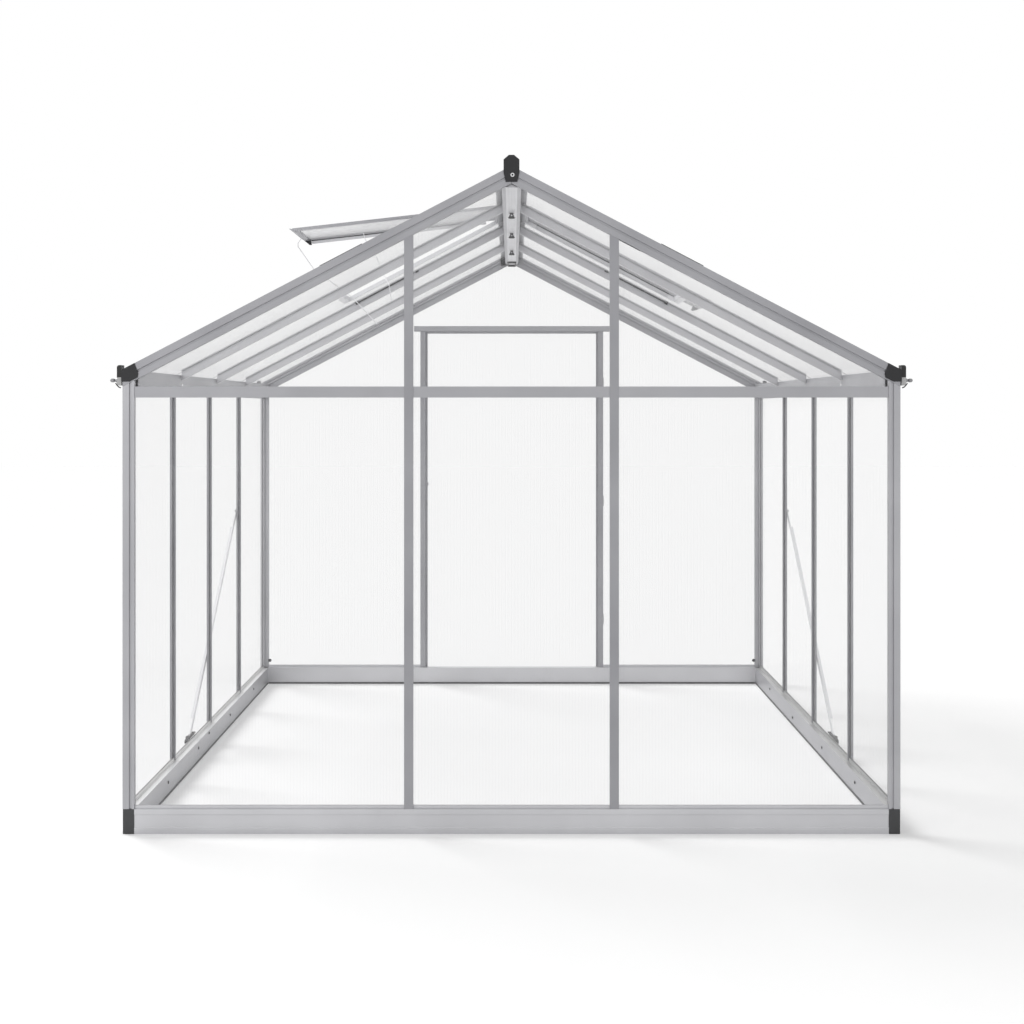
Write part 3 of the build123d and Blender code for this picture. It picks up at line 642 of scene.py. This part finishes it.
black_plastic = grained(
    "black_plastic", dark=(0.010, 0.010, 0.012), pale=(0.016, 0.016, 0.018), roughness=0.50
)
grey_plastic = grained(
    "grey_plastic", dark=(0.060, 0.061, 0.064), pale=(0.075, 0.076, 0.080), roughness=0.55
)
bright_metal = grained(
    "bright_metal", dark=(0.62, 0.62, 0.63), pale=(0.70, 0.70, 0.71), roughness=0.22, metallic=1.0
)
outlet_metal = grained(
    "outlet_metal", dark=(0.24, 0.24, 0.25), pale=(0.30, 0.30, 0.31), roughness=0.30, metallic=1.0
)
gutter_end = grained(
    "gutter_end", dark=(0.010,) * 3, pale=(0.016,) * 3, roughness=0.50, foot=GUTTER_END_FOOT
)
print("materials", len(bpy.data.materials))

# %% [markdown]
# Dressing the nodes
#
# Each node gets the finish of what it is. A node's mesh isn't changed, only the material in
# its slots, so it stays exactly what was drawn.

# %% Dress the nodes
FINISHES = {
    bars["plinth_gables"]: ["base_front", "base_rear"],
    bars["plinth_left"]: ["base_left"],
    bars["plinth_right"]: ["base_right"],
    bars["cross_bars"]: ["front_transom", "door_head", "door_rails"],
    bars["ridge_beam"]: ["ridge_beam"],
    bars["beams"]: ["eave_beam_left", "eave_beam_right"],
    bars["corner_posts"]: ["corner_posts_front", "corner_posts_rear"],
    bars["side_posts"]: ["side_posts_left", "side_posts_right"],
    bars["braces"]: ["side_braces"],
    bars["kerbs"]: ["vent_kerb_left", "vent_kerb_right"],
    bars["gable_rafters"]: ["front_rafters", "rear_rafters"],
    bars["rafters"]: ["middle_rafters_left", "middle_rafters_right"],
    bars["vents"]: ["vent_frame_left", "vent_frame_right"],
    bars["posts"]: [
        "gable_posts",
        "door_posts",
        "door_stiles",
        "door_hinge_brackets",
        "door_hinge_knuckles",
    ],
    sheets["gable"]: ["front_sheets", "rear_sheets", "door_sheet"],
    sheets["wall"]: ["wall_sheets_left", "wall_sheets_right"],
    sheets["roof"]: ["roof_sheets_left", "roof_sheets_right"],
    sheets["vent"]: ["vent_sheet_left", "vent_sheet_right"],
    black_plastic: ["ridge_caps", "eave_caps", "brace_clips", "vent_corners", "door_knob"],
    grey_plastic: ["base_corners"],
    gutter_end: ["gutter_ends"],
    outlet_metal: ["gutter_outlets"],
}
dressed = set()
for finish, names in FINISHES.items():
    for name in names:
        for slot in nodes[name].material_slots:
            slot.material = finish
        dressed.add(name)
print("undressed", sorted(set(nodes) - dressed))

# %% [markdown]
# Screws and other small pieces
#
# Such a kit is put together with screws and with bolts whose heads slide in the bars' grooves.
# A screw is a flat disc with a recess for the driver. Each could be modelled from a cylinder by
# hand. Here one function makes one at any place, and a whole row of them goes into one mesh,
# because they are all alike and never move apart.

# %% Putting a piece on the greenhouse
SIDES = (-1, 1)


def put_on(shape, name, body, finish):
    """Object from a bmesh, with its faces turned outward, riding on a body."""
    bmesh.ops.recalc_face_normals(shape, faces=shape.faces)
    open_edges = sum(not edge.is_manifold for edge in shape.edges)
    made = to_object(shape, name, finish)
    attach(made, body)
    print(name, len(made.data.polygons), "faces,", open_edges, "open edges")


def facing(place, way):
    """Matrix that carries a shape made along Z to a place and turns its Z to a way."""
    turn = Vector(way).to_track_quat("Z", "Y").to_matrix().to_4x4()
    return Matrix.Translation(Vector(place)) @ turn


def add_disc(shape, place, way, radius, top_radius, height, sides):
    """Tapered disc on a surface; gives back the face at its top."""
    spot = facing(place, way) @ Matrix.Translation((0, 0, height / 2))
    made = bmesh.ops.create_cone(
        shape,
        cap_ends=True,
        segments=sides,
        radius1=radius,
        radius2=top_radius,
        depth=height,
        matrix=spot,
    )
    faces = {face for corner in made["verts"] for face in corner.link_faces}
    return max(faces, key=lambda face: face.calc_center_median().dot(Vector(way)))


# %% Screws of the ridge caps
SCREW_SIDES = 12
SCREW_TAPER = 0.8
RECESS_INSETS = (0.42, 0.06)
RECESS_DEPTH = 1.6
RIDGE_CAP_FACES = ((-0.0213, -1), (2.5613, 1))
CAP_SCREW_ASIDE = 0.003
CAP_SCREW_HEIGHT = 2.033


def add_screw(shape, place, way, radius, height):
    """Pan-head screw: a tapered disc with a recess pushed into its top."""
    top = add_disc(shape, place, way, radius, radius * SCREW_TAPER, height, SCREW_SIDES)
    for inset in RECESS_INSETS:
        bmesh.ops.inset_individual(shape, faces=[top], thickness=radius * inset)
    push = Vector(way).normalized() * (-RECESS_DEPTH * height)
    bmesh.ops.translate(shape, verts=list(top.verts), vec=push)


shape = bmesh.new()
for face_y, outward in RIDGE_CAP_FACES:
    place = (-CAP_SCREW_ASIDE * outward, face_y, CAP_SCREW_HEIGHT)
    add_screw(shape, place, (0, outward, 0), radius=0.0078, height=0.0035)
put_on(shape, "ridge_cap_screws", "frame", bright_metal)

# %% Screws at the rafters' feet
POST_PLACES = (0.635, 1.270, 1.905)
BEAM_FACE = 1.160
BEAM_SCREW_HEIGHT = 1.398

shape = bmesh.new()
for side in SIDES:
    for y in POST_PLACES:
        place = (side * BEAM_FACE, y, BEAM_SCREW_HEIGHT)
        add_screw(shape, place, (-side, 0, 0), radius=0.0055, height=0.003)
put_on(shape, "eave_beam_screws", "frame", bright_metal)

# %% Painted shade of the screw holes in the plinth
PLINTH_FACE = 1.164
LEFT_HOLE_SHADES = ((0.440, 0.046), (0.931, 0.052), (1.125, 0.066), (1.556, 0.048), (2.120, 0.050))
RIGHT_HOLE_SHADES = ((0.440, 0.046), (0.982, 0.042), (1.573, 0.033), (2.120, 0.050))

# Black discs shaped like screw heads: painted shade of the dark screw holes in the plinth's inner
# faces.
shape = bmesh.new()
for side, plugs in zip(SIDES, (LEFT_HOLE_SHADES, RIGHT_HOLE_SHADES)):
    for y, z in plugs:
        place = (side * PLINTH_FACE, y, z)
        add_screw(shape, place, (-side, 0, 0), radius=0.0058, height=0.0025)
put_on(shape, "plinth_hole_shades", "frame", black_plastic)

# %% [markdown]
# Bolts under the ridge
#
# At every pair of rafters a bolt hangs from the groove in the ridge beam's underside. It has a
# dark flared foot with a rubber ring, and its bright end shows in the foot. The flare is a
# cone, and the ring a lower and wider one, so one function for a tapered disc makes them all.

# %% Bolts of the ridge
RIDGE_UNDERSIDE = 2.0001
BOLT_PLACES = (0.622, 1.228, 1.868)
DOWN = (0, 0, -1)
FORWARD = (0, -1, 0)

# Each row: how far before the bolt and below the beam, radius, top radius, height and sides
FLARE = (0.0, 0.0035, 0.0050, 0.0118, 0.0130, 14)
BOLT_END = (0.0085, 0.0100, 0.0036, 0.0030, 0.0030, 10)
LOWER_RING = (0.0, 0.0165, 0.0135, 0.0100, 0.0035, 16)
UPPER_RING = (0.0, 0.0015, 0.0080, 0.0065, 0.0020, 16)


def discs_at_bolts(way, *discs):
    """Bmesh with the discs at every bolt."""
    shape = bmesh.new()
    for y in BOLT_PLACES:
        for before, below, *measures in discs:
            add_disc(shape, (0, y - before, RIDGE_UNDERSIDE - below), way, *measures)
    return shape


flares, ends = discs_at_bolts(DOWN, FLARE), discs_at_bolts(FORWARD, BOLT_END)
rings = discs_at_bolts(DOWN, LOWER_RING, UPPER_RING)
put_on(flares, "ridge_bolts", "frame", grey_plastic)
put_on(ends, "ridge_bolt_ends", "frame", bright_metal)
put_on(rings, "ridge_bolt_rings", "frame", black_plastic)

# %% [markdown]
# Plugs at the end of the ridge
#
# The rear end of the ridge beam is closed with black plugs, and a small black frame is screwed
# under the strip beside them. All are blocks whose edges are rounded with a bevel, as a mould
# rounds them, because a sharp edge would catch no light.

# %% End plugs of the ridge
BLOCK_SEGMENTS = 2
PLUG_EDGE = 0.002
PLUGS = (
    ((-0.019, 2.500, 1.9915), (0.019, 2.527, 2.0000)),
    ((-0.0525, 2.503, 1.997), (-0.0312, 2.527, 2.031)),
)
SMALL_FRAME_EDGE = 0.0012
SMALL_FRAME = (
    ((-0.0205, 2.345, 1.9925), (-0.0140, 2.499, 1.9984)),
    ((0.0140, 2.345, 1.9925), (0.0205, 2.499, 1.9984)),
    ((-0.0138, 2.345, 1.9925), (0.0138, 2.372, 1.9984)),
)


def add_block(shape, low, high, edge):
    """Block between two corners with rounded edges."""
    middle = (Vector(low) + Vector(high)) / 2
    size = Vector(high) - Vector(low)
    made = bmesh.ops.create_cube(shape, size=1.0)
    bmesh.ops.scale(shape, verts=made["verts"], vec=size)
    bmesh.ops.translate(shape, verts=made["verts"], vec=middle)
    edges = {line for corner in made["verts"] for line in corner.link_edges}
    bmesh.ops.bevel(
        shape,
        geom=list(edges),
        offset=edge,
        affect="EDGES",
        segments=BLOCK_SEGMENTS,
        profile=0.5,
        material=-1,
    )


shape = bmesh.new()
for blocks, edge in ((PLUGS, PLUG_EDGE), (SMALL_FRAME, SMALL_FRAME_EDGE)):
    for low, high in blocks:
        add_block(shape, low, high, edge)
put_on(shape, "ridge_end_plugs", "frame", black_plastic)

# %% [markdown]
# Cover strip of the ridge
#
# A pale strip closes the groove in the ridge beam's underside, and its front end is folded up
# over the end of the beam. It has three fine flutes. Its outline is drawn once, as a few
# corners across the strip, and extruded to the far end, as the press does with the metal.

# %% Ridge strip
STRIP_HALF = 0.0183
STRIP_LOW = 1.9985
STRIP_START = 0.0123
STRIP_LENGTH = 2.487
FLUTES = (-0.009, 0.0, 0.009)
FLUTE_HALF = 0.0012
FLUTE_DEPTH = 0.0009
FOLD_START = 0.0075
FOLD_LENGTH = 0.0045
FOLD_SIDE = 1.9990
FOLD_TOP = 2.0085


def add_outline(shape, corners, push):
    """Flat outline with the given corners, extruded by a way."""
    face = shape.faces.new([shape.verts.new(corner) for corner in corners])
    grown = bmesh.ops.extrude_face_region(shape, geom=[face])
    moved = [part for part in grown["geom"] if isinstance(part, bmesh.types.BMVert)]
    bmesh.ops.translate(shape, verts=moved, vec=Vector(push))


section = [(-STRIP_HALF, RIDGE_UNDERSIDE), (-STRIP_HALF, STRIP_LOW)]
for flute in FLUTES:
    for step, rise in ((-FLUTE_HALF, 0.0), (0.0, FLUTE_DEPTH), (FLUTE_HALF, 0.0)):
        section.append((flute + step, STRIP_LOW + rise))
section += [(STRIP_HALF, STRIP_LOW), (STRIP_HALF, RIDGE_UNDERSIDE)]
fold = (
    (-STRIP_HALF, STRIP_LOW),
    (STRIP_HALF, STRIP_LOW),
    (STRIP_HALF, FOLD_SIDE),
    (0, FOLD_TOP),
    (-STRIP_HALF, FOLD_SIDE),
)

shape = bmesh.new()
add_outline(shape, [(x, STRIP_START, z) for x, z in section], (0, STRIP_LENGTH, 0))
add_outline(shape, [(x, FOLD_START, z) for x, z in fold], (0, FOLD_LENGTH, 0))
put_on(shape, "ridge_strip", "frame", bars["ridge_strip"])

# %% [markdown]
# Rubber seals, and strips of painted shade
#
# Dark rubber seals show as thin lines on the sloping edge of the front rafters and beside the
# roof vents. Two more dark strips are made in the same way and are painted shade: one along the
# foot of the side sheets, in the gap where each sheet stands in the plinth, and one along the
# plinth's inner foot, where it meets the floor. A seal is an extruded profile, so it is made
# like one: a small outline with a rounded top, drawn once and extruded to the far end.

# %% Painted shade at the foot of the side sheets
SEAL_SHOULDER = 0.6
BAY_ENDS = ((0.020, 0.622), (0.648, 1.257), (1.283, 1.892), (1.918, 2.520))
SHEET_FACE = 1.1928
SHEET_FOOT = 0.0772


def add_seal(shape, start, end, up, width, height):
    """Seal between two points; up is the way that its rounded top faces."""
    start, end, up = Vector(start), Vector(end), Vector(up).normalized()
    side = (end - start).normalized().cross(up)
    half = width / 2
    outline = (
        (-half, 0),
        (half, 0),
        (half, SEAL_SHOULDER * height),
        (half / 2, height),
        (-half / 2, height),
        (-half, SEAL_SHOULDER * height),
    )
    corners = [start + side * across + up * rise for across, rise in outline]
    add_outline(shape, corners, end - start)


# Each dark strip is painted shade in the gap where a side sheet stands in the plinth's slot.
shape = bmesh.new()
for side in SIDES:
    for y0, y1 in BAY_ENDS:
        start, end = ((side * SHEET_FACE, y, SHEET_FOOT) for y in (y0, y1))
        add_seal(shape, start, end, (0, 0, 1), width=0.0028, height=0.0095)
put_on(shape, "plinth_sheet_foot_shade", "frame", grey_plastic)

# %% Painted shade along the plinth's inner foot
FOOT_SHADE_STRIP = dict(width=0.008, height=0.002)
FOOT_SHADE_STRIP_HEIGHT = 0.0045
SIDE_SHADE_STRIP_ENDS = (0.020, 2.520)
REAR_SHADE_STRIP_ENDS = (-1.160, 1.160)
REAR_PLINTH_FACE = 2.522

# Each dark strip is painted contact shade where the plinth meets the floor.
shape = bmesh.new()
for side in SIDES:
    start, end = ((side * PLINTH_FACE, y, FOOT_SHADE_STRIP_HEIGHT) for y in SIDE_SHADE_STRIP_ENDS)
    add_seal(shape, start, end, (-side, 0, 0), **FOOT_SHADE_STRIP)
start, end = ((x, REAR_PLINTH_FACE, FOOT_SHADE_STRIP_HEIGHT) for x in REAR_SHADE_STRIP_ENDS)
add_seal(shape, start, end, FORWARD, **FOOT_SHADE_STRIP)
put_on(shape, "plinth_foot_contact_shade", "frame", grey_plastic)

# %% [markdown]
# Seals on the slope
#
# The roof's seals lie on a slope, so their places are given as they would be measured on it:
# how far from the middle, how far along the building, and how deep below the roof's outer
# line. A function turns such a place into a point on the left or the right side.

# %% Seals of the roof
RIDGE_LINE = 2.0621
SLOPE = 0.52345
ROOF_UP = Vector((math.sin(ROOF_PITCH), 0, math.cos(ROOF_PITCH)))

# Each row: ends measured from the middle, y, depth, way up, width and height
ROOF_SEALS = (
    ((0.462, 0.592), -0.008, 0, 1, 0.012, 0.003),
    ((0.372, 0.384), 1.2555, 0.016, 1, 0.004, 0.006),
    ((0.430, 0.612), 1.2555, 0.016, 1, 0.004, 0.006),
    ((0.606, 0.620), 1.2555, 0.019, 1, 0.005, 0.012),
    ((0.336, 0.346), -0.008, 0.0475, -1, 0.007, 0.009),
)
RIGHT_SEAL = ((0.346, 0.420), -0.010, 0.0473, -1, 0.003, 0.0014)


def on_roof(side, x, y, depth):
    """Point on one side's roof at a distance x from the middle, at a depth below its line."""
    line = Vector((x, y, RIDGE_LINE - SLOPE * x)) - ROOF_UP * depth
    return Vector((side * line.x, line.y, line.z))


def add_roof_seal(shape, side, reach, y, depth, up, width, height):
    """Seal that runs down one side's roof between two distances from the middle."""
    start, end = (on_roof(side, x, y, depth) for x in reach)
    roof_up = Vector((side * ROOF_UP.x, 0, ROOF_UP.z))
    add_seal(shape, start, end, roof_up * up, width, height)


shape = bmesh.new()
for side in SIDES:
    for row in ROOF_SEALS:
        add_roof_seal(shape, side, *row)
add_roof_seal(shape, 1, *RIGHT_SEAL)
put_on(shape, "roof_seals", "frame", black_plastic)

# %% [markdown]
# Knobs and covers of the braces
#
# The braces are bolted with black plastic knobs, and two more sit low in the rear corners. A
# knob is a disc with a second, smaller disc on it, so its edge catches a line of light. Over
# each brace's foot a flat cover is arched like a low hill, on both sides of the plinth's rim.
# Its outline has more corners along the arch, and none where it is straight.

# %% Black knobs
KNOB_SIDES = 14
KNOB_FOOT = 0.8
KNOB_BASE = 0.6
KNOB_CROWN = ((0.2, 0.25), (0.3, 0.15))

# Each row: how far from the middle, y, z, facing out or in, radius and height of the knob
KNOBS = (
    (1.2025, 0.932, 0.090, 1, 0.0075, 0.009),
    (1.2025, 1.905, 0.867, 1, 0.0060, 0.006),
    (1.1640, 2.534, 0.110, -1, 0.0075, 0.014),
)


def add_knob(shape, place, way, radius, height):
    """Round knob: a base disc whose top is inset twice and raised into a crown."""
    foot, base = radius * KNOB_FOOT, height * KNOB_BASE
    top = add_disc(shape, place, way, foot, radius, base, KNOB_SIDES)
    for inset, rise in KNOB_CROWN:
        bmesh.ops.inset_individual(
            shape, faces=[top], thickness=radius * inset, depth=height * rise
        )


shape = bmesh.new()
for side in SIDES:
    for x, y, z, out, radius, height in KNOBS:
        add_knob(shape, (side * x, y, z), (side * out, 0, 0), radius, height)
put_on(shape, "black_knobs", "frame", black_plastic)

# %% Covers over the braces' feet
ARCH = (
    (0.884, 0.0906),
    (0.905, 0.0930),
    (0.930, 0.0950),
    (0.965, 0.0972),
    (1.000, 0.0968),
    (1.022, 0.0940),
    (1.036, 0.0905),
)

# Each row: face, foot and thickness of the cover outside and inside the rim
COVERS = ((1.2028, 0.0790, 0.0028), (1.1964, 0.0872, 0.0032))

shape = bmesh.new()
for side in SIDES:
    for face_x, foot, thickness in COVERS:
        arch = [(ARCH[0][0], foot), *ARCH, (ARCH[-1][0], foot)]
        add_outline(shape, [(side * face_x, y, z) for y, z in arch], (side * thickness, 0, 0))
put_on(shape, "brace_covers", "frame", black_plastic)

# %% [markdown]
# Wires of the open vent and hooks of the gutters
#
# A bent wire holds the open vent up. It could be a curve with a bevel, but a short one is as
# quickly made from rings: a circle at each bend, turned square to the wire, and each circle
# bridged to the next. The hooks under the gutter ends are made in the same way.

# %% Vent wires
WIRE_SIDES = 8
WIRE_RADIUS = 0.0017
NEAR_WIRE = (
    (-0.798, 1.050, 1.960),
    (-0.811, 1.050, 1.942),
    (-0.811, 1.050, 1.928),
    (-0.751, 1.050, 1.843),
    (-0.660, 1.050, 1.776),
    (-0.600, 1.050, 1.732),
    (-0.511, 1.050, 1.634),
)
FAR_WIRE = (
    (-0.568, 1.096, 1.988),
    (-0.560, 1.096, 1.960),
    (-0.520, 1.096, 1.900),
    (-0.486, 1.060, 1.822),
    (-0.462, 1.010, 1.780),
    (-0.450, 0.980, 1.716),
)


def add_wire(shape, points, radius):
    """Bent wire through a few points, closed at both ends."""
    points = [Vector(point) for point in points]
    rings = []
    for spot, point in enumerate(points):
        before = points[max(spot - 1, 0)]
        after = points[min(spot + 1, len(points) - 1)]
        turned = facing(point, after - before)
        made = bmesh.ops.create_circle(shape, segments=WIRE_SIDES, radius=radius, matrix=turned)
        rings.append(made["verts"])
    for pair in zip(rings, rings[1:]):
        around = set()
        for ring in pair:
            for corner in ring:
                around.update(line for line in corner.link_edges if line.other_vert(corner) in ring)
        bmesh.ops.bridge_loops(shape, edges=list(around))
    shape.faces.new(rings[0])
    shape.faces.new(rings[-1])


shape = bmesh.new()
add_wire(shape, NEAR_WIRE, WIRE_RADIUS)
add_wire(shape, FAR_WIRE, WIRE_RADIUS)
put_on(shape, "vent_wires", "frame", bars["braces"])

# %% Gutter hooks
HOOK_RADIUS = 0.0018
WALL_LINE = 1.2
GABLE_LINES = (0.0, 2.540)

# Each corner: how far inside the wall's line, and its height
HOOK = ((-0.0260, 1.3915), (-0.0215, 1.3850), (-0.0160, 1.3795), (-0.0100, 1.3770))

shape = bmesh.new()
for side in SIDES:
    for y in GABLE_LINES:
        add_wire(shape, [(side * (WALL_LINE - inside), y, z) for inside, z in HOOK], HOOK_RADIUS)
put_on(shape, "gutter_hooks", "frame", black_plastic)

# %% [markdown]
# Flange of the vents
#
# The far rail of each vent has a pale flange that hangs inside the kerb when the vent is shut,
# with a dark seal along its top. Both follow the leaf, so a function turns a place on the leaf
# into a point: how far from the hinge, where along the building, and how high above the hinge.

# %% Vent flange
HINGE_OUT = 0.058
HINGE_HIGH = 2.0292
OPEN_SLOPE = math.radians(6.43)
FLANGE_START = 0.040
FLANGE_LOW = -0.0050
FLANGE_HIGH = 0.0084
FLANGE_Y = 1.1062
FLANGE_THICKNESS = 0.0016
SEAL_Y = 1.1048
SEAL_HIGH = 0.0075

# Each row: side, slope of the leaf, and where its flange ends
LEAVES = ((-1, OPEN_SLOPE, 0.712), (1, ROOF_PITCH, 0.610))


def on_leaf(side, slope, along_leaf, y, height):
    """Point on a vent's leaf."""
    out = HINGE_OUT + along_leaf * math.cos(slope) + height * math.sin(slope)
    up = HINGE_HIGH - along_leaf * math.sin(slope) + height * math.cos(slope)
    return Vector((side * out, y, up))


flanges, seals = bmesh.new(), bmesh.new()
for side, slope, reach in LEAVES:
    ends = (
        (FLANGE_START, FLANGE_LOW),
        (reach, FLANGE_LOW),
        (reach, FLANGE_HIGH),
        (FLANGE_START, FLANGE_HIGH),
    )
    corners = [on_leaf(side, slope, place, FLANGE_Y, height) for place, height in ends]
    add_outline(flanges, corners, (0, FLANGE_THICKNESS, 0))
    first, last = (on_leaf(side, slope, u, SEAL_Y, SEAL_HIGH) for u in (FLANGE_START, reach))
    add_seal(seals, first, last, FORWARD, width=0.0030, height=0.0020)
put_on(flanges, "vent_flanges", "frame", bars["vent_flanges"])
put_on(seals, "vent_seals", "frame", grey_plastic)

# %% [markdown]
# Fittings of the door
#
# The hinges are screwed to the door post and to the leaf, and a brush seal closes the gap below
# the leaf. The screws and the seal on the leaf ride on the door, so they swing with it.

# %% Hinge screws
HINGE_HEIGHTS = (0.304, 0.871, 1.439)
HINGE_SCREW_X = 0.4180
LEAF_FACE = 2.587
HINGE_SCREW_SHIFTS = (-0.009, 0.009)

shape = bmesh.new()
for z in HINGE_HEIGHTS:
    for shift in HINGE_SCREW_SHIFTS:
        place = (HINGE_SCREW_X, LEAF_FACE, z + shift)
        add_screw(shape, place, (0, 1, 0), radius=0.0038, height=0.002)
put_on(shape, "door_hinge_screws", "door", bright_metal)

# %% Brush seal
BRUSH_ENDS = (-0.420, 0.420)
BRUSH_Y = 2.5845
BRUSH_TOP = 0.0445

shape = bmesh.new()
start, end = ((x, BRUSH_Y, BRUSH_TOP) for x in BRUSH_ENDS)
add_seal(shape, start, end, DOWN, width=0.004, height=0.016)
put_on(shape, "door_brush_seal", "door", black_plastic)
